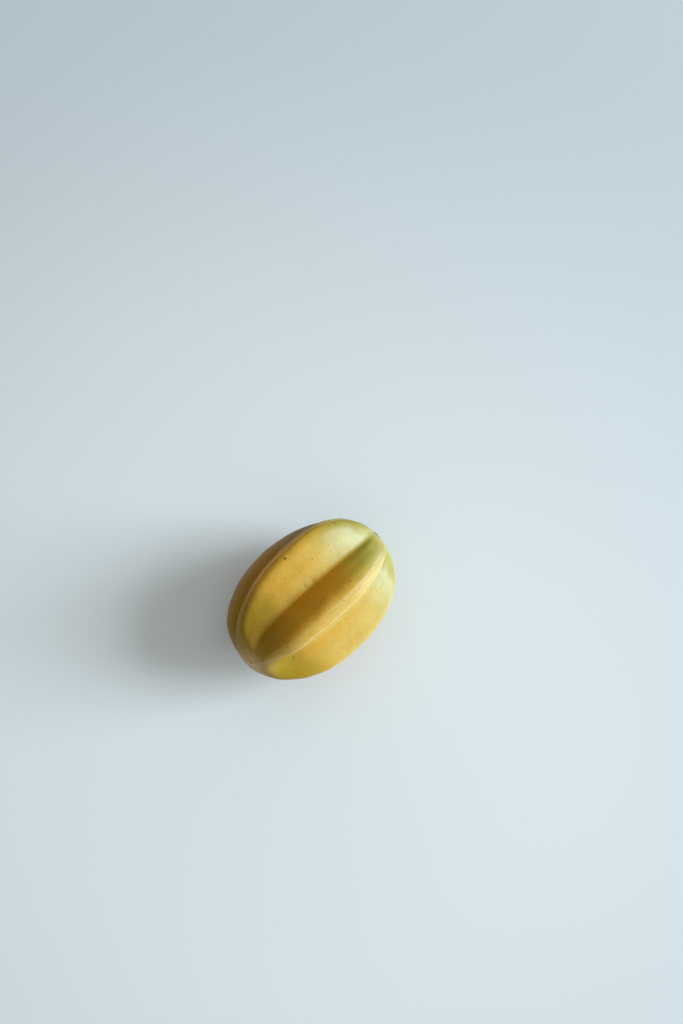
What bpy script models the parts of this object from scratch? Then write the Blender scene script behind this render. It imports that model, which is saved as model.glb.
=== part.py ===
"""A whole star fruit lying on its side, with the woody scar of its stalk.

Metres, +Z up, +X towards the stalk end. The origin is on the surface that the fruit
rests on, under the middle of its bounding box.
"""

import math

import bmesh
import bpy
from mathutils import Vector

# The rounded body that the grooves are cut into, about the fruit's middle: half its
# length, and how boxy its outline is towards each end (2 is an ellipse)
HALF_LENGTH = 0.0447
ROUNDNESS_STALK = 2.25
ROUNDNESS_BLOSSOM = 2.1

# Each crest's direction round the long axis in degrees (0 is up, 90 is +Y), its radius
# at mid-length, and the share of that which it gains towards the stalk end
RIBS = (
    (45.0, 0.0335, 0.10),
    (-28.0, 0.0331, -0.01),
    (-103.0, 0.0325, 0.00),
    (-182.0, 0.0325, 0.00),
    (-253.0, 0.0360, -0.03),
)

# Depth of the groove before each rib, as a share of the crest radius
GROOVE_DEPTHS = (0.43, 0.43, 0.47, 0.43, 0.43)

# How full each rib's two flanks are, the one before its crest and the one after it
# (about 0.6 is straight, more is fuller), and the shares of each flank between which it
# bends away from the crest strip; a bend that starts below 0 is under way at its edge
FLANK_FULLNESS = ((1.35, 1.00), (1.00, 0.55), (1.00, 1.35), (1.35, 1.35), (1.35, 1.35))
BENDS = (
    ((0.0, 0.16), (0.0, 0.45)),
    ((-0.35, 0.45), (0.0, 0.16)),
    ((0.0, 0.40), (0.0, 0.16)),
    ((0.0, 0.16), (0.0, 0.16)),
    ((0.0, 0.16), (0.0, 0.16)),
)

# Half of the blunt strip along a crest, as a share of the way from crest to groove
STRIP_SHARE = 0.115

# How late the grooves run out towards each end, higher is later
GROOVE_END_STALK = 14
GROOVE_END_BLOSSOM = 8

# Where the ribs meet at each end, off the long axis, as slopes to +Y and +Z seen from
# the middle, and how close to the end the ribs turn towards it
STALK_LEAN = (0.045, 0.0)
BLOSSOM_LEAN = (-0.12, 0.22)
LEAN_POWER = 16

# Mesh steps across a rib, on one half of its strip, and from end to end
STEPS_PER_RIB = 16
STEPS_ON_HALF_STRIP = 2
STEPS_ALONG = 48

# The flat spot that the fruit rests on, below its long axis
RESTING_DEPTH = 0.0315
RESTING_CUTTER_SIZE = (0.2, 0.2, 0.02)

# The woody scar, how far it stands out of the stalk end, and the seat that it sits in
SCAR_RADIUS = 0.0025
SCAR_THICKNESS = 0.0012
SCAR_PROUD = 0.0007
SCAR_ROUNDING = 0.0003
SCAR_SIDES = 24
SEAT_CLEARANCE = 0.0003
SEAT_CUTTER_LENGTH = 0.01

SKIN_COLOUR = (0.62, 0.40, 0.07)
SKIN_ROUGHNESS = 0.32
WOOD_COLOUR = (0.09, 0.06, 0.045)
WOOD_ROUGHNESS = 0.75


def remove_old_objects():
    for old in list(bpy.data.objects):
        bpy.data.objects.remove(old, do_unlink=True)


def make_collection(name):
    collection = bpy.data.collections.new(name)
    bpy.context.scene.collection.children.link(collection)
    return collection


def make_material(name, colour, roughness):
    material = bpy.data.materials.new(name)
    material.use_nodes = True
    shader = material.node_tree.nodes["Principled BSDF"]
    shader.inputs["Base Color"].default_value = (*colour, 1.0)
    shader.inputs["Roughness"].default_value = roughness
    shader.inputs["Metallic"].default_value = 0.0
    return material


def make_object(name, shape, collection):
    """Turn a bmesh into an object and free it."""
    mesh = bpy.data.meshes.new(name)
    shape.to_mesh(mesh)
    shape.free()
    item = bpy.data.objects.new(name, mesh)
    collection.objects.link(item)
    return item


def rib(number):
    """Crest direction, radius and gain of a rib; numbers run on past a full turn."""
    turns, index = divmod(number, len(RIBS))
    degrees, radius, gain = RIBS[index]
    return math.radians(degrees - 360.0 * turns), radius, gain


def groove_profile(flank, fullness, bend):
    """Depth along a flank, 0 at the strip and 1 in the groove."""
    start, end = bend
    bent = min(1.0, (flank - start) / (end - start))
    return bent * bent * (3.0 - 2.0 * bent) * flank ** fullness


def section(turn):
    """Direction, crest radius, gain and groove depth at a place round the fruit.

    The turn counts ribs, with a groove at each whole number and a crest half-way.
    """
    number = math.floor(turn)
    across = 2.0 * (turn - number) - 1.0
    crest, radius, gain = rib(number)
    other_crest, other_radius, other_gain = rib(number + 1 if across > 0.0 else number - 1)

    strip_steps = 2.0 * STEPS_ON_HALF_STRIP / STEPS_PER_RIB
    on_strip = min(1.0, abs(across) / strip_steps)
    flank = max(0.0, (abs(across) - strip_steps) / (1.0 - strip_steps))
    share = STRIP_SHARE * on_strip + (1.0 - STRIP_SHARE) * flank

    angle = crest + share * (other_crest - crest) / 2.0
    towards_other = 0.5 * math.sin(share * math.pi / 2.0) ** 2
    radius += towards_other * (other_radius - radius)
    gain += towards_other * (other_gain - gain)

    after = 1 if across > 0.0 else 0
    index = number % len(RIBS)
    depth = GROOVE_DEPTHS[(index + after) % len(RIBS)]
    depth *= groove_profile(flank, FLANK_FULLNESS[index][after], BENDS[index][after])
    return angle, radius, gain, depth


def fruit_point(turn, along):
    """Surface point at a place round the fruit.

    Along is an angle seen from the middle, 0 at the stalk end and pi at the blossom end.
    """
    angle, radius, gain, depth = section(turn)
    forward = math.cos(along)
    near_stalk = ((1.0 + forward) / 2.0) ** LEAN_POWER
    near_blossom = ((1.0 - forward) / 2.0) ** LEAN_POWER
    lean_y = STALK_LEAN[0] * near_stalk + BLOSSOM_LEAN[0] * near_blossom
    lean_z = STALK_LEAN[1] * near_stalk + BLOSSOM_LEAN[1] * near_blossom

    direction = Vector((
        forward,
        math.sin(along) * math.sin(angle) + lean_y,
        math.sin(along) * math.cos(angle) + lean_z,
    )).normalized()
    outward = math.hypot(direction.y, direction.z)
    radius *= 1.0 + gain * direction.x
    power = ROUNDNESS_STALK if forward > 0.0 else ROUNDNESS_BLOSSOM
    closeness = (abs(direction.x) / HALF_LENGTH) ** power + (outward / radius) ** power
    on_body = direction / closeness ** (1.0 / power)

    end_power = GROOVE_END_STALK if forward > 0.0 else GROOVE_END_BLOSSOM
    depth *= 1.0 - abs(forward) ** end_power
    middle = Vector((on_body.x, lean_y * HALF_LENGTH, lean_z * HALF_LENGTH))
    return on_body + depth * (middle - on_body)


def make_fruit(collection):
    """A ball whose points are moved to the ribbed surface, its poles to the fruit's ends."""
    ball = bmesh.new()
    bmesh.ops.create_uvsphere(
        ball,
        u_segments=STEPS_PER_RIB * len(RIBS),
        v_segments=STEPS_ALONG,
        radius=1.0,
    )
    for vertex in ball.verts:
        around = math.atan2(vertex.co.y, vertex.co.x) % math.tau
        turn = around / math.tau * len(RIBS)
        along = math.acos(max(-1.0, min(1.0, vertex.co.z)))
        vertex.co = fruit_point(turn, along)
    fruit = make_object("fruit", ball, collection)
    fruit.data.shade_smooth()
    return fruit


def make_disc(name, collection, radius, length, outer_face):
    """A round disc across the long axis, given the middle of its outer face."""
    disc = bmesh.new()
    bmesh.ops.create_cone(
        disc,
        cap_ends=True,
        segments=SCAR_SIDES,
        radius1=radius,
        radius2=radius,
        depth=length,
    )
    item = make_object(name, disc, collection)
    item.rotation_euler = (0.0, math.pi / 2.0, 0.0)
    item.location = outer_face - Vector((length / 2.0, 0.0, 0.0))
    return item


def make_stalk_scar(collection, outer_face):
    scar = make_disc("stalk_scar", collection, SCAR_RADIUS, SCAR_THICKNESS, outer_face)
    rounding = scar.modifiers.new("rounding", 'BEVEL')
    rounding.width = SCAR_ROUNDING
    rounding.segments = 2
    return scar


def make_seat_cutter(collection, scar_face):
    """A rod that leaves the seat a clearance wider and deeper than the scar."""
    rod_end = scar_face.copy()
    rod_end.x += SEAT_CUTTER_LENGTH - SCAR_THICKNESS - SEAT_CLEARANCE
    radius = SCAR_RADIUS + SEAT_CLEARANCE
    return make_disc("seat_cutter", collection, radius, SEAT_CUTTER_LENGTH, rod_end)


def make_resting_cutter(collection):
    """A block whose top face is the plane of the flat spot."""
    block = bmesh.new()
    bmesh.ops.create_cube(block, size=1.0)
    bmesh.ops.scale(block, verts=block.verts, vec=RESTING_CUTTER_SIZE)
    cutter = make_object("resting_cutter", block, collection)
    cutter.location.z = -RESTING_DEPTH - RESTING_CUTTER_SIZE[2] / 2.0
    return cutter


def cut(item, cutter):
    cutter.hide_render = True
    cutter.display_type = 'WIRE'
    boolean = item.modifiers.new(cutter.name, 'BOOLEAN')
    boolean.operation = 'DIFFERENCE'
    boolean.solver = 'EXACT'
    boolean.object = cutter


def stand_on_surface(root, items):
    """Move the whole part so that the origin is under the middle of its box."""
    bpy.context.view_layer.update()
    depsgraph = bpy.context.evaluated_depsgraph_get()
    points = []
    for item in items:
        shown = item.evaluated_get(depsgraph)
        points += [shown.matrix_world @ vertex.co for vertex in shown.data.vertices]
    low = [min(point[axis] for point in points) for axis in range(3)]
    high = [max(point[axis] for point in points) for axis in range(3)]
    root.location = (-(low[0] + high[0]) / 2.0, -(low[1] + high[1]) / 2.0, -low[2])


def main():
    remove_old_objects()
    parts = make_collection("star_fruit")
    cutters = make_collection("cutters")

    fruit = make_fruit(parts)
    fruit.data.materials.append(make_material("fruit_skin", SKIN_COLOUR, SKIN_ROUGHNESS))

    scar_face = fruit_point(0.0, 0.0) + Vector((SCAR_PROUD, 0.0, 0.0))
    scar = make_stalk_scar(parts, scar_face)
    scar.data.materials.append(make_material("stalk_wood", WOOD_COLOUR, WOOD_ROUGHNESS))

    seat_cutter = make_seat_cutter(cutters, scar_face)
    resting_cutter = make_resting_cutter(cutters)
    cut(fruit, seat_cutter)
    cut(fruit, resting_cutter)

    root = bpy.data.objects.new("star_fruit_root", None)
    parts.objects.link(root)
    for item in (fruit, scar, seat_cutter, resting_cutter):
        item.parent = root
    stand_on_surface(root, (fruit, scar))


main()
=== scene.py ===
import math

import bmesh
import bpy
import numpy as np
from mathutils import Matrix, Vector


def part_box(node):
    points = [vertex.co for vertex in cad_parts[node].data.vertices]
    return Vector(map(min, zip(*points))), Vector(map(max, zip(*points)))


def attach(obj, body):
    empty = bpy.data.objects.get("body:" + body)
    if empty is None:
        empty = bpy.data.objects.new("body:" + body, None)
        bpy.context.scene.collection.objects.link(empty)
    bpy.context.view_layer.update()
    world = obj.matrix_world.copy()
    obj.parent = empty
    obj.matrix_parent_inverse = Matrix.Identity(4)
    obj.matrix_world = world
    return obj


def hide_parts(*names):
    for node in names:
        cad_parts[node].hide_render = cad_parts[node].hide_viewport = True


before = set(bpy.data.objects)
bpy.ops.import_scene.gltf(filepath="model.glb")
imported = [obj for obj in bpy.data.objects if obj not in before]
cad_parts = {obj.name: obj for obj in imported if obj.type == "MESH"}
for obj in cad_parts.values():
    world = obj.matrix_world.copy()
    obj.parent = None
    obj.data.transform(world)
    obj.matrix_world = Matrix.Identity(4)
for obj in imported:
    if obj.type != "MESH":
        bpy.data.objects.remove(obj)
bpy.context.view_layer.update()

# The fruit's body and ribs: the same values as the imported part, in metres and degrees
HALF_LENGTH = 0.0447
ROUNDNESS_STALK = 2.25
ROUNDNESS_BLOSSOM = 2.1
RIBS = (
    (45.0, 0.0335, 0.10),
    (-28.0, 0.0331, -0.01),
    (-103.0, 0.0325, 0.00),
    (-182.0, 0.0325, 0.00),
    (-253.0, 0.0360, -0.03),
)
FLANK_FULLNESS = ((1.35, 1.00), (1.00, 0.55), (1.00, 1.35), (1.35, 1.35), (1.35, 1.35))
BENDS = (
    ((0.0, 0.16), (0.0, 0.45)),
    ((-0.35, 0.45), (0.0, 0.16)),
    ((0.0, 0.40), (0.0, 0.16)),
    ((0.0, 0.16), (0.0, 0.16)),
    ((0.0, 0.16), (0.0, 0.16)),
)
GROOVE_END_STALK = 14
GROOVE_END_BLOSSOM = 8
STALK_LEAN = (0.045, 0.0)
BLOSSOM_LEAN = (-0.12, 0.22)
LEAN_POWER = 16
RESTING_DEPTH = 0.0315

# Depth of the groove before each rib, as a share of the crest radius, a little less than
# the part's, and the share of a flank over which the groove's bottom is rounded
GROOVE_DEPTHS = (0.403, 0.403, 0.44, 0.403, 0.403)
GROOVE_ROUNDING = 0.20

# Half-width of each rib's blunt strip, as a share of the way from crest to groove, how
# much it varies from end to end, and how quick the two waves are that it follows there
STRIP_SHARES = (0.022, 0.115, 0.085, 0.09, 0.075)
STRIP_WANDER = 0.12
STRIP_WAVES = (7.0, 13.0)

# Mesh steps across a rib, share of them on its strip, how much closer they lie near the
# strip and the groove than half-way between, and steps from end to end
STEPS_PER_RIB = 72
STRIP_STEP_SHARE = 0.2
STEP_CROWDING = 0.5
STEPS_ALONG = 220

# Broad waves of the skin, as lengths and heights, the rise of each rib's strip in its
# middle, and between which radii of the body the strips fade out towards the ends
WAVES = ((0.030, 0.00030), (0.012, 0.00011), (0.005, 0.00003))
STRIP_RISES = (0.00002, 0.00034, 0.00015, 0.00015, 0.00015)
STRIP_FADE = (0.004, 0.018)

# The raised line along each edge of a rib's strip: its height, its half-width on each rib,
# and how clear it is before and after the crest. Towards the blossom end it fades: where
# it is gone before and after the crest, from 1 at the stalk end to -1 at the blossom end,
# and the length of the fade
EDGE_HEIGHT = 0.00009
EDGE_HALF_WIDTHS = (0.00026, 0.00060, 0.00045, 0.00045, 0.00045)
EDGE_STRENGTHS = ((0.0, 1.0), (0.9, 1.0), (0.6, 0.6), (0.7, 0.5), (0.6, 0.7))
EDGE_FADE_ENDS = (-0.3, -1.0)
EDGE_FADE_LENGTH = 0.7

# The dry point at the blossom end, and the hollow round it
TIP_RADIUS = 0.0028
TIP_HEIGHT = 0.00015
TIP_HOLLOW_RADIUS = 0.007
TIP_HOLLOW_DEPTH = 0.0001

# Small dimples near a groove: ribs round the fruit, degrees from the stalk end, radius
# and depth
DIMPLES = (
    (0.910, 89.8, 0.0014, 0.00050),
    (0.935, 82.5, 0.0022, 0.00065),
    (2.620, 70.0, 0.0012, 0.00030),
    (4.300, 110.0, 0.0015, 0.00035),
)

# The woody scar: radius, how far it stands out of the fruit and how deep it goes in, and
# the soft dish round it
SCAR_RADIUS = 0.0026
SCAR_PROUD = 0.0009
SCAR_DEPTH = 0.0008
SEAT_RADIUS = 0.0034
SEAT_DEPTH = 0.0005

# The scar's outline as waves round it: their number, share of the radius and start angle
SCAR_LOBES = ((5.0, 0.05, 0.0), (11.0, 0.03, 1.0))

# The scar's mesh steps round and from back to front, the hollow of its face as a share
# of how far it stands out, its cracks, how square its side is (less is squarer), and the
# length, height and seed of its roughness
SCAR_STEPS = (96, 48)
SCAR_HOLLOW = 0.45
CRACK_COUNT = 9.0
CRACK_TWIST = 4.0
CRACK_DEPTH = 0.00022
SCAR_SQUARENESS = 0.35
SCAR_ROUGHNESS = (0.0011, 0.00006, 5)

# The side of the fruit that faces the window, where the skin is painted paler as painted
# light, and how far towards it this starts and is palest; and how far away from it the
# skin starts to turn amber as painted shade and is deepest
PAINTED_LIGHT_SIDE = (0.67, -0.60, 0.43)
LIGHT_FACING = (0.52, 0.78)
SHADE_FACING = (0.45, -0.05)

# How pale each rib's strip is, its share of that before the crest, and where on the
# flank the pale colour starts and is full
STRIP_PALENESS = (0.0, 1.0, 0.9, 0.8, 0.8)
PALENESS_BEFORE = 0.7
PALE_FLANK = (0.09, 0.0)

# The thin dark scratch beside the line after the first crest: how far from it, its
# half-width, the length and seed of its breaks, and how much of it the other lines have
SCRATCH_OFFSET = 0.0007
SCRATCH_HALF_WIDTH = 0.0003
SCRATCH_BREAKS = 0.012
SCRATCH_SEED = 21
SCRATCH_ELSEWHERE = 0.25

# Where deeper colours start and are full. From 1 on the window's side to -1 on the far
# side: the dark painted shade of the far side, and the brown of the blossom end, kept to the
# side away from the window, where it is partly painted shade. From 0 at the strip to 1 in
# the groove: the olive painted shade after the first crest. Then the radii of the brown and
# the dry tip
FAR_SHADE_SIDE = (-0.66, -0.80)
BROWN_SIDE = (0.80, 0.10)
OLIVE_FLANK = (0.60, 0.10)
BROWN_END_RADIUS = 0.022
DRY_TIP_RADIUS = 0.0075

# Where colours start and are full along the fruit, from 1 at the stalk end to -1 at the
# blossom end, and how far these places wander over patches of this size
GREEN_ALONG = (0.40, 0.88)
DEEPER_GREEN_ALONG = (0.82, 0.97)
OLIVE_ALONG = (0.20, 0.85)
DARK_GREEN_ALONG = (0.0, 0.75)
BLOSSOM_ALONG = (-0.30, -0.85)
STRIP_ALONG = (0.97, 0.70)
EDGE_ALONG = (1.0, 0.75)
COLOUR_WANDER = 0.5
WANDER_SIZE = 0.022

# Amber painted on as shade, how much less of it lies next to a strip, and its blotches
AMBER_SHARE = 0.88
LESS_AMBER = 0.35
LESS_AMBER_FLANK = (0.22, 0.0)
BLOTCH_SIZE = 0.007
BLOTCH_RANGE = (0.45, 0.7)
BLOTCH_SHARE = 0.18

# Dots all over the skin: spacing, radius and how strong they are; and the finest mottle
BROWN_DOTS = ((0.0030, 0.00036, 0.8), (0.0016, 0.00026, 0.30))
PALE_DOTS = (0.005, 0.00035, 0.6)
PALE_DOTS_SHIFT = (0.37, 0.21, 0.11)
MOTTLE_SIZE = 0.0016
MOTTLE_RANGE = (0.35, 0.75)
MOTTLE_SHARE = 0.16

# Dark specks: ribs round the fruit, degrees from the stalk end, and radius
SPECKS = (
    (0.705, 87.2, 0.00085),
    (1.285, 61.3, 0.00060),
    (1.375, 161.0, 0.00065),
    (2.090, 133.5, 0.00060),
    (0.675, 41.8, 0.00060),
    (0.705, 42.0, 0.00045),
    (4.790, 85.2, 0.00045),
    (1.175, 128.0, 0.00045),
    (1.405, 132.5, 0.00055),
    (0.800, 71.5, 0.00045),
    (2.380, 95.0, 0.00080),
    (3.350, 60.0, 0.00065),
    (4.280, 118.0, 0.00075),
    (4.610, 52.0, 0.00055),
)

# A speck is fully dark within this share of its radius, and its edge is ragged
SPECK_CORE = 0.35
RAGGED_SCALE = 1200.0
RAGGED_WIDTH = 0.0009

# Bumps too fine for the mesh, pores and peel: size, detail of the noise, strength, height
PORES = (0.0007, 2.0, 0.25, 0.00003)
PEEL = (0.0028, 1.0, 0.5, 0.00016)
SKIN_ROUGHNESS = (0.38, 0.50)

# Colours of the skin
GOLD = (0.73, 0.435, 0.055)
# The pale gold is painted light and sheen on the window's side; the amber is painted shade, and
# also the tone of the mottle
PAINTED_LIGHT_GOLD = (0.67, 0.495, 0.130)
AMBER = (0.57, 0.250, 0.006)
# Painted shade on the far side: amber towards the blossom end, green towards the stalk
FAR_SHADE_AMBER = (0.34, 0.150, 0.002)
FAR_SHADE_GREEN = (0.13, 0.110, 0.010)
# The stalk end's own deeper green, also used as painted shade on the green away from the window
STALK_AND_SHADE_GREEN = (0.36, 0.31, 0.018)
# Painted shade beside the first crest towards the stalk end
CREST_SHADE_OLIVE = (0.27, 0.235, 0.020)
PALE_GREEN = (0.50, 0.46, 0.090)
# Painted sheen on the green where it faces the window
PAINTED_SHEEN_GREEN = (0.55, 0.54, 0.25)
BLOSSOM_OLIVE = (0.36, 0.235, 0.010)
# Brown of the blossom end, also used as its painted shade away from the window
BLOSSOM_BROWN_AND_SHADE = (0.33, 0.180, 0.006)
DRY_TIP = (0.62, 0.40, 0.16)
STRIP_PALE = (0.72, 0.50, 0.14)
# Pale edge lines, partly their own colour and partly a painted highlight
EDGE_PALE_AND_HIGHLIGHT = (0.80, 0.58, 0.22)
SCRATCH_BROWN = (0.20, 0.11, 0.02)
SPECK_BROWN = (0.085, 0.040, 0.008)
DOT_BROWN = (0.24, 0.13, 0.02)
DOT_PALE = (0.80, 0.68, 0.30)

# The scar's wood
WOOD_DARK = (0.045, 0.030, 0.022)
WOOD_PALE = (0.17, 0.12, 0.09)
CRACK_DARK = (0.02, 0.012, 0.008)
WOOD_ROUGHNESS = 0.8
WOOD_GRAIN = (0.0006, 4.0, 0.6, 0.0001)

# The pale surface: half its width, two tones that it varies between over large patches,
# and the darker tone that it reaches far from the place where it is brightest, a pool of
# light painted on it
FLOOR_HALF_WIDTH = 3.0
FLOOR_TONES = ((0.78, 0.82, 0.825), (0.81, 0.85, 0.855))
FLOOR_PAINTED_DIM_TONE = (0.58, 0.64, 0.66)
FLOOR_PATCH_SIZE = 0.3
FLOOR_LIGHT_POOL_CENTRE = (-0.06, -0.04, 0.0)
FLOOR_LIGHT_FALLOFF = (0.10, 0.45)
FLOOR_ROUGHNESS = 0.7

# The photo's frame, where the fruit stands in it, and how the camera looks at it
IMAGE_SIZE = (683, 1024)
FRUIT_PIXEL = (310.6, 596.8)
PIXELS_PER_METRE = 2036.7
FOCAL_PIXELS = 1138.0
SENSOR = 36.0
CAMERA_TILT = math.radians(12.0)
CAMERA_HEADING = math.radians(48.0)

# The window: its direction in the picture from straight right, its height above the
# surface, distance, size and strength
WINDOW_ANGLE = math.radians(3.5)
WINDOW_ELEVATION = math.radians(25.5)
WINDOW_DISTANCE = 3.0
WINDOW_SIZE = (1.3, 1.9)
WINDOW_WATTS = 103.0
WINDOW_COLOUR = (0.87, 0.99, 1.10)

# The room's own light: brightest from above on the window's side, dimmest from the far
# side, and between which cosines of the angle from the brightest direction it changes
ROOM_COLOUR = (0.96, 1.0, 0.99)
ROOM_BRIGHT = 0.58
ROOM_DIM = 0.06
ROOM_BRIGHT_ELEVATION = math.radians(62.0)
ROOM_RANGE = (-0.35, 0.90)


def smooth_step(low, high, values):
    """0 at low and 1 at high, smooth between them; low may be the greater of the two."""
    share = np.clip((values - low) / (high - low), 0.0, 1.0)
    return share * share * (3.0 - 2.0 * share)


def ripple(points, wavelength, seed):
    """Smooth random waves, about -1 to 1, at each point."""
    draw = np.random.default_rng(seed)
    total = np.zeros(len(points))
    count = 14
    for _ in range(count):
        direction = draw.normal(size=3)
        direction /= np.linalg.norm(direction)
        turns = points @ direction / (wavelength * draw.uniform(0.7, 1.4))
        total += np.cos(math.tau * (turns + draw.uniform()))
    return total / math.sqrt(count)


def rib(numbers):
    """Crest directions, radii and gains of ribs, counted on past a full turn."""
    turns, index = np.divmod(numbers, len(RIBS))
    values = np.array(RIBS)[index.astype(int)]
    return np.radians(values[:, 0] - 360.0 * turns), values[:, 1], values[:, 2]


def groove_profile(flank, fullness, bend):
    """Depth along a flank, 0 at the strip and 1 in the groove, with a rounded bottom."""
    past = np.maximum(0.0, flank - (1.0 - GROOVE_ROUNDING))
    depth = flank ** fullness - fullness * past ** 2 / (2.0 * GROOVE_ROUNDING)
    depth = depth / (1.0 - fullness * GROOVE_ROUNDING / 2.0)
    return smooth_step(bend[:, 0], bend[:, 1], flank) * depth


def groove_depth(index, after, flank, forward):
    """Depth below the body as a share of the way to its axis, none at the ends."""
    end_power = np.where(forward > 0.0, GROOVE_END_STALK, GROOVE_END_BLOSSOM)
    depth = np.array(GROOVE_DEPTHS)[(index + after) % len(RIBS)]
    fullness = np.array(FLANK_FULLNESS)[index, after]
    depth = depth * groove_profile(flank, fullness, np.array(BENDS)[index, after])
    return depth * (1.0 - np.abs(forward) ** end_power)


def strip_half_width(number, side, index, along):
    """Half the width of a rib's strip, which varies along the rib."""
    slow, quick = STRIP_WAVES
    wander = np.cos(slow * along + 2.0 * number + side)
    wander = wander + np.cos(quick * along + number + 2.0 * side)
    return np.array(STRIP_SHARES)[index] * (1.0 + STRIP_WANDER * wander / 2.0)


def edge_clearness(index, after, forward):
    """How clear the line along a strip's edge is, less towards the blossom end."""
    fade_end = np.array(EDGE_FADE_ENDS)[after]
    clearness = np.array(EDGE_STRENGTHS)[index, after]
    return clearness * smooth_step(fade_end, fade_end + EDGE_FADE_LENGTH, forward)


def between_crests(number, side, share):
    """Direction, radius and gain at a share of the way from a crest to the groove beside
    it, and the whole angle of that way.
    """
    crest, radius, gain = rib(number)
    other_crest, other_radius, other_gain = rib(number + side)
    angle = crest + share * (other_crest - crest) / 2.0
    towards_other = 0.5 * np.sin(share * math.pi / 2.0) ** 2
    radius = radius + towards_other * (other_radius - radius)
    gain = gain + towards_other * (other_gain - gain)
    return angle, radius, gain, np.abs(other_crest - crest) / 2.0


def end_leans(forward):
    """Slopes to +Y and +Z that the ribs take towards each end."""
    near_stalk = ((1.0 + forward) / 2.0) ** LEAN_POWER
    near_blossom = ((1.0 - forward) / 2.0) ** LEAN_POWER
    lean_y = STALK_LEAN[0] * near_stalk + BLOSSOM_LEAN[0] * near_blossom
    lean_z = STALK_LEAN[1] * near_stalk + BLOSSOM_LEAN[1] * near_blossom
    return lean_y, lean_z


def body_points(direction, forward, radius, gain):
    """Where lines from the middle meet the rounded body without its grooves."""
    outward = np.hypot(direction[:, 1], direction[:, 2])
    radius = radius * (1.0 + gain * direction[:, 0])
    power = np.where(forward > 0.0, ROUNDNESS_STALK, ROUNDNESS_BLOSSOM)
    closeness = (np.abs(direction[:, 0]) / HALF_LENGTH) ** power + (outward / radius) ** power
    return direction / (closeness ** (1.0 / power))[:, None]


def fruit_surface(turn, along):
    """Points, outward directions and skin fields at places round and along the fruit.

    The turn counts ribs, with a groove at each whole number and a crest half-way.
    Along is an angle seen from the middle, 0 at the stalk end and pi at the other.
    """
    number = np.floor(turn)
    across = 2.0 * (turn - number) - 1.0
    side = np.where(across > 0.0, 1.0, -1.0)
    index = np.mod(number, len(RIBS)).astype(int)
    after = (side > 0.0).astype(int)
    on_strip = np.minimum(1.0, np.abs(across) / STRIP_STEP_SHARE)
    step = np.maximum(0.0, (np.abs(across) - STRIP_STEP_SHARE) / (1.0 - STRIP_STEP_SHARE))
    flank = step - STEP_CROWDING * np.sin(math.tau * step) / math.tau
    strip = strip_half_width(number, side, index, along)
    share = strip * on_strip + (1.0 - strip) * flank
    angle, radius, gain, half_gap = between_crests(number, side, share)

    forward = np.cos(along)
    lean_y, lean_z = end_leans(forward)
    direction = np.stack([
        forward,
        np.sin(along) * np.sin(angle) + lean_y,
        np.sin(along) * np.cos(angle) + lean_z,
    ], axis=1)
    direction /= np.linalg.norm(direction, axis=1, keepdims=True)
    on_body = body_points(direction, forward, radius, gain)
    middle = np.stack([on_body[:, 0], lean_y * HALF_LENGTH, lean_z * HALF_LENGTH], axis=1)
    depth = groove_depth(index, after, flank, forward)
    points = on_body + depth[:, None] * (middle - on_body)

    body_radius = np.linalg.norm(on_body - middle, axis=1)
    strip_strength = smooth_step(*STRIP_FADE, body_radius)
    fields = {
        "flank": flank,
        "forward": direction[:, 0],
        "side": -np.sin(angle),
        "rib": index,
        "after": after,
        "edge_distance": (share - strip) * half_gap * body_radius,
        "rise": (1.0 - on_strip ** 2) * (flank <= 0.0) * np.array(STRIP_RISES)[index],
        "strip_strength": strip_strength,
        "edge_strength": strip_strength * edge_clearness(index, after, forward),
    }
    normal = (on_body - middle) / np.maximum(body_radius, 1e-9)[:, None]
    normal = normal + direction * np.array([1.0, 0.0, 0.0])
    normal /= np.linalg.norm(normal, axis=1, keepdims=True)
    return points, normal, fields


def place_on_fruit(ribs_round, degrees_along):
    points, _, _ = fruit_surface(np.array([ribs_round]), np.array([math.radians(degrees_along)]))
    return points[0]


def distances(points, ribs_round, degrees_along):
    """How far points are from a place on the fruit."""
    return np.linalg.norm(points - place_on_fruit(ribs_round, degrees_along), axis=1)


def edge_line(fields):
    """How close a place is to the line along a strip's edge, 1 on the line."""
    half_width = np.array(EDGE_HALF_WIDTHS)[fields["rib"]]
    return np.exp(-(fields["edge_distance"] / half_width) ** 2) * fields["edge_strength"]


def dimple_shape(points, ribs_round, degrees, radius):
    return np.exp(-2.0 * (distances(points, ribs_round, degrees) / radius) ** 2)


def add_relief(points, normal, fields):
    """Points raised by the strips, dimples, the scar's seat, the tip and broad waves."""
    relief = EDGE_HEIGHT * edge_line(fields) + fields["rise"] * fields["strip_strength"]
    for seed, (wavelength, height) in enumerate(WAVES):
        relief += height * ripple(points, wavelength, seed)
    for ribs_round, degrees, radius, depth in DIMPLES:
        relief -= depth * dimple_shape(points, ribs_round, degrees, radius)
    relief -= SEAT_DEPTH * np.exp(-(distances(points, 0.0, 0.0) / SEAT_RADIUS) ** 4)
    from_tip = distances(points, 0.0, 180.0)
    relief += TIP_HEIGHT * np.exp(-(from_tip / TIP_RADIUS) ** 2)
    relief -= TIP_HOLLOW_DEPTH * np.exp(-(from_tip / TIP_HOLLOW_RADIUS) ** 2)
    return points + normal * relief[:, None]


def scratch_field(points, fields, first_flank):
    """The broken dark scratch beside a strip's edge line, clearest on the first rib."""
    beyond = (fields["edge_distance"] - SCRATCH_OFFSET) / SCRATCH_HALF_WIDTH
    along_line = 0.5 + 0.5 * ripple(points, SCRATCH_BREAKS, SCRATCH_SEED)
    scratch = np.exp(-beyond ** 2) * smooth_step(0.35, 0.8, along_line)
    return scratch * np.where(first_flank, 1.0, SCRATCH_ELSEWHERE) * fields["edge_strength"]


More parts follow.
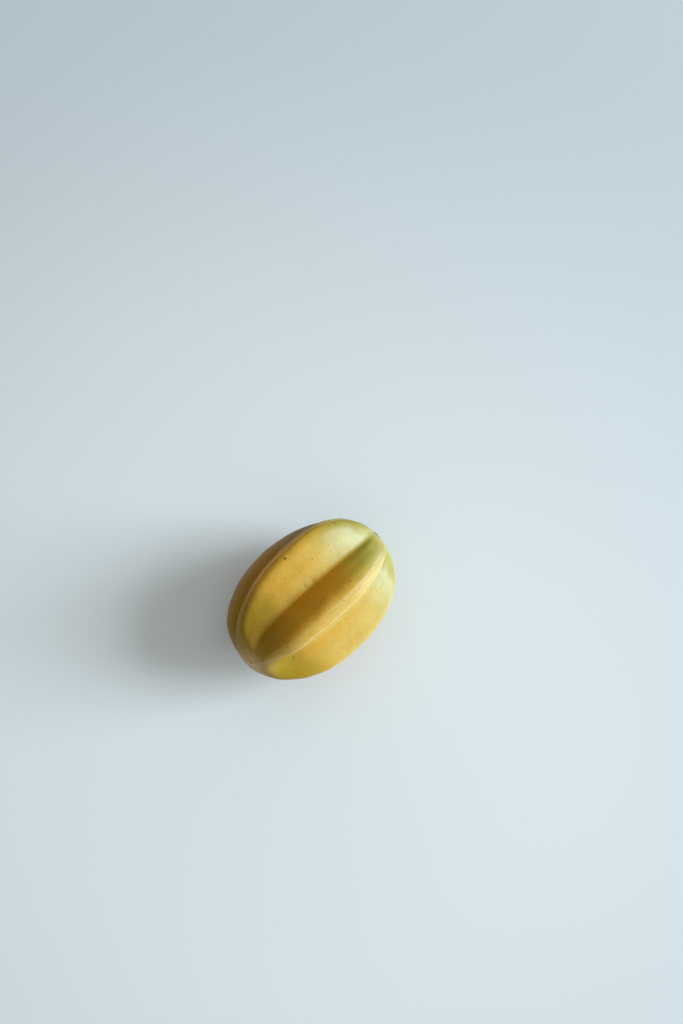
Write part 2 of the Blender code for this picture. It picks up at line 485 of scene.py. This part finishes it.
def skin_fields(points, fields):
    """Values from 0 to 1 over the skin that its colours follow."""
    flank, side, after = fields["flank"], fields["side"], fields["after"]
    first_flank = (fields["rib"] == 0) & (after == 1)
    from_tip = distances(points, 0.0, 180.0)
    paleness = np.array(STRIP_PALENESS)[fields["rib"]] * np.where(after == 1, 1.0, PALENESS_BEFORE)
    dimples = sum(
        dimple_shape(points, ribs_round, degrees, radius)
        for ribs_round, degrees, radius, _ in DIMPLES
    )
    return {
        "flank": flank,
        "forward": fields["forward"],
        "strip": smooth_step(*PALE_FLANK, flank) * fields["strip_strength"] * paleness,
        "edge": edge_line(fields),
        "dimple": np.clip(dimples, 0.0, 1.0),
        # painted shade on the far side of the fruit
        "deep": smooth_step(*FAR_SHADE_SIDE, side),
        # painted shade beside the first crest
        "olive": np.where(first_flank, smooth_step(*OLIVE_FLANK, flank), 0.0),
        # brown round the tip, partly its own colour and partly painted shade, away from the window
        "brown_end": np.exp(-(from_tip / BROWN_END_RADIUS) ** 2) * smooth_step(*BROWN_SIDE, side),
        "scratch": scratch_field(points, fields, first_flank),
        "tip": np.exp(-(from_tip / DRY_TIP_RADIUS) ** 2),
    }


def facing_fields(normals):
    """How much painted light and painted shade the skin gets, by how far it faces the window."""
    towards = normals @ np.array(PAINTED_LIGHT_SIDE)
    return {
        "pale": smooth_step(*LIGHT_FACING, towards),
        "amber": smooth_step(*SHADE_FACING, towards),
    }


def make_ball(name, steps_round, steps_along):
    """A unit ball as a mesh, and its points."""
    ball = bmesh.new()
    bmesh.ops.create_uvsphere(ball, u_segments=steps_round, v_segments=steps_along, radius=1.0)
    points = np.array([vertex.co for vertex in ball.verts])
    mesh = bpy.data.meshes.new(name)
    ball.to_mesh(mesh)
    ball.free()
    return mesh, points


def move_points(mesh, points):
    mesh.vertices.foreach_set("co", points.astype(np.float32).ravel())
    mesh.update()


def store_field(mesh, name, values):
    attribute = mesh.attributes.new(name, 'FLOAT', 'POINT')
    attribute.data.foreach_set("value", values.astype(np.float32))


def add_to_scene(name, data):
    item = bpy.data.objects.new(name, data)
    bpy.context.scene.collection.objects.link(item)
    return item


def make_fruit():
    """The ribbed skin, and how far it is moved to stand where the solid stands."""
    mesh, ball = make_ball("fruit_skin", STEPS_PER_RIB * len(RIBS), STEPS_ALONG)
    around = np.arctan2(ball[:, 1], ball[:, 0]) % math.tau
    turn = around / math.tau * len(RIBS)
    along = np.arccos(np.clip(ball[:, 2], -1.0, 1.0))
    points, normal, fields = fruit_surface(turn, along)
    move_points(mesh, points)
    normals = np.empty(3 * len(points), dtype=np.float32)
    mesh.vertex_normals.foreach_get("vector", normals)
    colours = skin_fields(points, fields)
    colours.update(facing_fields(normals.reshape(-1, 3)))
    smooth_low, smooth_high = points.min(axis=0), points.max(axis=0)
    points = add_relief(points, normal, fields)

    low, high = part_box("fruit")
    shift = np.array([
        (low[0] + high[0] - smooth_low[0] - smooth_high[0]) / 2.0,
        (low[1] + high[1] - smooth_low[1] - smooth_high[1]) / 2.0,
        RESTING_DEPTH,
    ])
    points = points + shift
    points[:, 2] = np.maximum(points[:, 2], 0.0)
    move_points(mesh, points)
    mesh.shade_smooth()
    for name, values in colours.items():
        store_field(mesh, name, values)
    return add_to_scene("fruit_skin", mesh), shift


def make_scar(shift):
    """A rough round button with a raised rim and cracks that run out from its middle."""
    mesh, ball = make_ball("stalk_end", *SCAR_STEPS)
    around = np.arctan2(ball[:, 1], ball[:, 0])
    radius = np.hypot(ball[:, 0], ball[:, 1])
    outline = 1.0 + sum(
        height * np.cos(count * around + start) for count, height, start in SCAR_LOBES
    )
    cracks = 0.5 + 0.5 * np.cos(CRACK_COUNT * around + CRACK_TWIST * radius)
    rim = smooth_step(0.3, 0.85, radius)
    face = SCAR_PROUD * (1.0 - SCAR_HOLLOW + SCAR_HOLLOW * rim)
    face = face - CRACK_DEPTH * cracks ** 6 * smooth_step(0.05, 0.4, radius)
    squared = np.abs(ball[:, 2]) ** SCAR_SQUARENESS
    points = np.stack([
        np.where(ball[:, 2] > 0.0, face, -SCAR_DEPTH) * squared,
        SCAR_RADIUS * outline * ball[:, 0],
        SCAR_RADIUS * outline * ball[:, 1],
    ], axis=1)
    points += place_on_fruit(0.0, 0.0) + shift
    wavelength, height, seed = SCAR_ROUGHNESS
    points[:, 0] += height * ripple(points, wavelength, seed)
    move_points(mesh, points)
    store_field(mesh, "crack", cracks ** 4)
    mesh.shade_smooth()
    return add_to_scene("stalk_end", mesh)


class Nodes:
    """Adds and links the nodes of one material."""

    def __init__(self, name):
        self.material = bpy.data.materials.new(name)
        self.material.use_nodes = True
        self.tree = self.material.node_tree
        self.shader = self.tree.nodes["Principled BSDF"]

    def put(self, socket, value):
        if isinstance(value, bpy.types.NodeSocket):
            self.tree.links.new(value, socket)
        elif isinstance(value, tuple) and len(socket.default_value) == len(value) + 1:
            socket.default_value = (*value, 1.0)
        else:
            socket.default_value = value

    def add(self, kind, inputs, output=0, **settings):
        node = self.tree.nodes.new(kind)
        for key, value in settings.items():
            setattr(node, key, value)
        for key, value in inputs.items():
            self.put(node.inputs[key], value)
        return node.outputs[output]

    def place(self):
        return self.add("ShaderNodeTexCoord", {}, "Object")

    def field(self, name):
        return self.add("ShaderNodeAttribute", {}, "Fac", attribute_name=name)

    def math(self, operation, first, second=0.0):
        return self.add("ShaderNodeMath", {0: first, 1: second}, operation=operation)

    def vector(self, operation, first, second):
        output = "Value" if operation == 'DISTANCE' else "Vector"
        return self.add(
            "ShaderNodeVectorMath", {0: first, 1: second}, output, operation=operation
        )

    def ramp(self, value, low, high):
        """0 below low and 1 above high, or the other way round, smooth between them."""
        rising = low < high
        return self.add("ShaderNodeMapRange", {
            "Value": value,
            "From Min": min(low, high),
            "From Max": max(low, high),
            "To Min": 0.0 if rising else 1.0,
            "To Max": 1.0 if rising else 0.0,
        }, interpolation_type='SMOOTHSTEP')

    def mix(self, share, first, second):
        """The first colour where the share is 0, the second where it is 1."""
        return self.add("ShaderNodeMix", {0: share, 6: first, 7: second}, 2, data_type='RGBA')

    def tint(self, colour, tone, where, strength):
        """A colour turned towards a tone, at most by the strength, where a value is high."""
        return self.mix(self.math('MULTIPLY', where, strength), colour, tone)

    def noise(self, place, size, detail=2.0):
        """Noise from 0 to 1 with features of about the stated size in metres."""
        return self.add("ShaderNodeTexNoise", {
            "Vector": place, "Scale": 1.0 / size, "Detail": detail,
        })

    def dots(self, place, spacing, radius):
        """1 on sparse small dots, 0 between them."""
        distance = self.add("ShaderNodeTexVoronoi", {
            "Vector": place, "Scale": 1.0 / spacing,
        }, "Distance")
        return self.ramp(distance, radius / spacing, 0.45 * radius / spacing)

    def bump(self, height, strength, distance, **beneath):
        """A bump of some height in metres, on top of the Normal that is given, if any."""
        return self.add("ShaderNodeBump", {
            "Height": height, "Strength": strength, "Distance": distance, **beneath,
        })

    def finish(self, **inputs):
        """Links or sets the shader's inputs, named with _ for each space."""
        for name, value in inputs.items():
            self.put(self.shader.inputs[name.replace("_", " ")], value)
        return self.material


def lit_and_shaded_colour(skin, cloudy):
    """Gold, with painted light and sheen as pale gold on the window's side, painted shade as amber
    away from it, and faint random amber blotches.
    """
    near_strip = skin.ramp(skin.field("flank"), *LESS_AMBER_FLANK)
    kept = skin.math('SUBTRACT', 1.0, skin.math('MULTIPLY', near_strip, LESS_AMBER))
    amber = skin.math('MULTIPLY', skin.field("amber"), kept)
    blotches = skin.math('MULTIPLY', skin.ramp(cloudy, *BLOTCH_RANGE), BLOTCH_SHARE)
    amber = skin.math('ADD', skin.math('MULTIPLY', amber, AMBER_SHARE), blotches)
    colour = skin.mix(skin.field("pale"), GOLD, PAINTED_LIGHT_GOLD)
    return skin.mix(amber, colour, AMBER)


def stalk_end_colour(skin, colour, forward):
    """Yellow-green at the stalk end, with a painted sheen on the window's side and painted shade
    away from it; olive painted shade beside the first crest; and painted shade on the far side.
    """
    # Painted sheen: a paler, whiter green where the skin faces the window
    green = skin.mix(skin.field("pale"), PALE_GREEN, PAINTED_SHEEN_GREEN)
    # Painted shade: a darker green away from the window
    green = skin.mix(skin.field("amber"), green, STALK_AND_SHADE_GREEN)
    green = skin.tint(green, STALK_AND_SHADE_GREEN, skin.ramp(forward, *DEEPER_GREEN_ALONG), 0.65)
    colour = skin.mix(skin.ramp(forward, *GREEN_ALONG), colour, green)
    # Painted shade: olive beside the first crest towards the stalk end
    olive = skin.math('MULTIPLY', skin.field("olive"), skin.ramp(forward, *OLIVE_ALONG))
    colour = skin.tint(colour, CREST_SHADE_OLIVE, olive, 0.8)
    # Painted shade on the far side of the fruit
    far_shade_colour = skin.mix(skin.ramp(forward, *DARK_GREEN_ALONG), FAR_SHADE_AMBER, FAR_SHADE_GREEN)
    return skin.tint(colour, far_shade_colour, skin.field("deep"), 0.9)


def blossom_end_colour(skin, colour, forward):
    """Olive at the blossom end, browner as painted shade away from the window, and brown round the
    tip, partly its own colour and partly painted shade, on the side away from the window.
    """
    # Painted shade: browner away from the window
    olive = skin.mix(skin.field("amber"), BLOSSOM_OLIVE, BLOSSOM_BROWN_AND_SHADE)
    colour = skin.mix(skin.ramp(forward, *BLOSSOM_ALONG), colour, olive)
    return skin.tint(colour, BLOSSOM_BROWN_AND_SHADE, skin.field("brown_end"), 0.85)


def relief_colour(skin, colour, forward):
    """The colours of the dimples, the strips and their lines, which are partly a painted
    highlight, the dry tip and the scratch.
    """
    colour = skin.tint(colour, PALE_GREEN, skin.field("dimple"), 0.25)
    strip = skin.math('MULTIPLY', skin.field("strip"), skin.ramp(forward, *STRIP_ALONG))
    colour = skin.tint(colour, STRIP_PALE, strip, 0.45)
    colour = skin.mix(skin.field("tip"), colour, DRY_TIP)
    # Edge lines: a pale colour that is partly a painted highlight
    edge = skin.math('MULTIPLY', skin.field("edge"), skin.ramp(forward, *EDGE_ALONG))
    colour = skin.tint(colour, EDGE_PALE_AND_HIGHLIGHT, edge, 0.9)
    return skin.tint(colour, SCRATCH_BROWN, skin.field("scratch"), 0.9)


def dotted_colour(skin, colour, place):
    """Brown and pale dots and the finest mottle."""
    for spacing, radius, strength in BROWN_DOTS:
        colour = skin.tint(colour, DOT_BROWN, skin.dots(place, spacing, radius), strength)
    mottle = skin.ramp(skin.noise(place, MOTTLE_SIZE), *MOTTLE_RANGE)
    colour = skin.tint(colour, AMBER, mottle, MOTTLE_SHARE)
    spacing, radius, strength = PALE_DOTS
    shifted = skin.vector('ADD', place, PALE_DOTS_SHIFT)
    return skin.tint(colour, DOT_PALE, skin.dots(shifted, spacing, radius), strength)


def specked_colour(skin, colour, place, shift):
    """Dark specks with ragged edges, each at its own place."""
    jitter = skin.add("ShaderNodeTexNoise", {"Vector": place, "Scale": RAGGED_SCALE}, "Color")
    jitter = skin.vector('SUBTRACT', jitter, (0.5, 0.5, 0.5))
    jitter = skin.vector('MULTIPLY', jitter, (RAGGED_WIDTH, RAGGED_WIDTH, RAGGED_WIDTH))
    ragged = skin.vector('ADD', place, jitter)
    specks = 0.0
    for ribs_round, degrees, radius in SPECKS:
        centre = tuple(place_on_fruit(ribs_round, degrees) + shift)
        speck = skin.ramp(skin.vector('DISTANCE', ragged, centre), radius, SPECK_CORE * radius)
        specks = skin.math('MAXIMUM', specks, speck)
    return skin.tint(colour, SPECK_BROWN, specks, 0.9)


def skin_bump(skin, place):
    """Fine pores, and the wider unevenness of the peel on top of them."""
    size, detail, strength, height = PORES
    pores = skin.bump(skin.noise(place, size, detail), strength, height)
    size, detail, strength, height = PEEL
    return skin.bump(skin.noise(place, size, detail), strength, height, Normal=pores)


def skin_material(shift):
    skin = Nodes("waxy_skin")
    place = skin.place()
    broad = skin.math('SUBTRACT', skin.noise(place, WANDER_SIZE), 0.5)
    wander = skin.math('MULTIPLY', broad, COLOUR_WANDER)
    forward = skin.math('ADD', skin.field("forward"), wander)
    cloudy = skin.noise(place, BLOTCH_SIZE, 3.0)
    roughness = skin.add("ShaderNodeMapRange", {
        "Value": cloudy, "To Min": SKIN_ROUGHNESS[0], "To Max": SKIN_ROUGHNESS[1],
    })
    colour = lit_and_shaded_colour(skin, cloudy)
    colour = stalk_end_colour(skin, colour, forward)
    colour = blossom_end_colour(skin, colour, forward)
    colour = relief_colour(skin, colour, forward)
    colour = dotted_colour(skin, colour, place)
    colour = specked_colour(skin, colour, place, shift)
    return skin.finish(
        Base_Color=colour,
        Roughness=roughness,
        Normal=skin_bump(skin, place),
        Subsurface_Weight=0.35,
        Subsurface_Radius=(1.0, 0.4, 0.08),
        Subsurface_Scale=0.0035,
        Specular_IOR_Level=0.05,
        Coat_Weight=0.38,
        Coat_Roughness=0.33,
    )


def wood_material():
    wood = Nodes("stalk_wood")
    size, detail, strength, height = WOOD_GRAIN
    grain = wood.noise(wood.place(), size, detail)
    colour = wood.mix(grain, WOOD_DARK, WOOD_PALE)
    colour = wood.mix(wood.field("crack"), colour, CRACK_DARK)
    bump = wood.bump(grain, strength, height)
    return wood.finish(Base_Color=colour, Roughness=WOOD_ROUGHNESS, Normal=bump)


def floor_material():
    paint = Nodes("pale_surface")
    place = paint.place()
    colour = paint.mix(paint.noise(place, FLOOR_PATCH_SIZE), *FLOOR_TONES)
    # Painted light: the surface darkens away from a pool of light
    away = paint.vector('DISTANCE', place, FLOOR_LIGHT_POOL_CENTRE)
    colour = paint.mix(paint.ramp(away, *FLOOR_LIGHT_FALLOFF), colour, FLOOR_PAINTED_DIM_TONE)
    return paint.finish(Base_Color=colour, Roughness=FLOOR_ROUGHNESS)


def make_floor():
    slab = bmesh.new()
    bmesh.ops.create_grid(slab, x_segments=1, y_segments=1, size=FLOOR_HALF_WIDTH)
    mesh = bpy.data.meshes.new("floor")
    slab.to_mesh(mesh)
    slab.free()
    mesh.materials.append(floor_material())
    add_to_scene("floor", mesh)


def camera_axes():
    """The camera's right, up and backward directions, and the picture's up on the floor."""
    flat_up = Vector((math.cos(CAMERA_HEADING), math.sin(CAMERA_HEADING), 0.0))
    right = Vector((flat_up.y, -flat_up.x, 0.0))
    upright = Vector((0.0, 0.0, 1.0))
    up = flat_up * math.cos(CAMERA_TILT) + upright * math.sin(CAMERA_TILT)
    backward = upright * math.cos(CAMERA_TILT) - flat_up * math.sin(CAMERA_TILT)
    return right, up, backward, flat_up


def make_camera():
    """A camera that sees the fruit at its place and size in the photo."""
    data = bpy.data.cameras.new("camera")
    data.sensor_width = SENSOR
    data.lens = SENSOR * FOCAL_PIXELS / max(IMAGE_SIZE)
    camera = add_to_scene("camera", data)
    right, up, backward, _ = camera_axes()
    distance = FOCAL_PIXELS / PIXELS_PER_METRE
    aside = (FRUIT_PIXEL[0] - IMAGE_SIZE[0] / 2.0) / PIXELS_PER_METRE
    above = -(FRUIT_PIXEL[1] - IMAGE_SIZE[1] / 2.0) / PIXELS_PER_METRE
    middle = Vector((0.0, 0.0, RESTING_DEPTH))
    place = middle - right * aside - up * above + backward * distance
    turn = Matrix((right, up, backward)).transposed()
    camera.matrix_world = Matrix.Translation(place) @ turn.to_4x4()
    bpy.context.scene.camera = camera


def towards_window(elevation):
    """The direction of a place above the window's side, at some angle above level."""
    right, _, _, flat_up = camera_axes()
    level = right * math.cos(WINDOW_ANGLE) + flat_up * math.sin(WINDOW_ANGLE)
    direction = level * math.cos(elevation)
    direction.z = math.sin(elevation)
    return direction


def make_window():
    data = bpy.data.lights.new("window", 'AREA')
    data.shape = 'RECTANGLE'
    data.size, data.size_y = WINDOW_SIZE
    data.energy = WINDOW_WATTS
    data.color = WINDOW_COLOUR
    window = add_to_scene("window", data)
    direction = towards_window(WINDOW_ELEVATION)
    window.location = direction * WINDOW_DISTANCE
    window.rotation_euler = direction.to_track_quat('Z', 'Y').to_euler()


def light_room():
    """Light from all round, brightest from above on the window's side."""
    world = bpy.data.worlds.new("room")
    world.use_nodes = True
    tree = world.node_tree
    background = tree.nodes["Background"]
    background.inputs["Color"].default_value = (*ROOM_COLOUR, 1.0)
    looking = tree.nodes.new("ShaderNodeTexCoord")
    towards = tree.nodes.new("ShaderNodeVectorMath")
    towards.operation = 'DOT_PRODUCT'
    towards.inputs[1].default_value = towards_window(ROOM_BRIGHT_ELEVATION)
    strength = tree.nodes.new("ShaderNodeMapRange")
    strength.inputs["From Min"].default_value = ROOM_RANGE[0]
    strength.inputs["From Max"].default_value = ROOM_RANGE[1]
    strength.inputs["To Min"].default_value = ROOM_DIM
    strength.inputs["To Max"].default_value = ROOM_BRIGHT
    tree.links.new(looking.outputs["Generated"], towards.inputs[0])
    tree.links.new(towards.outputs["Value"], strength.inputs["Value"])
    tree.links.new(strength.outputs["Result"], background.inputs["Strength"])
    bpy.context.scene.world = world


make_camera()
fruit, shift = make_fruit()
fruit.data.materials.append(skin_material(shift))
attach(fruit, "root")
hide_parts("fruit")

scar = make_scar(shift)
scar.data.materials.append(wood_material())
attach(scar, "root")
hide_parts("stalk_scar")

make_floor()
make_window()
light_room()
bpy.context.scene.view_settings.view_transform = 'Standard'
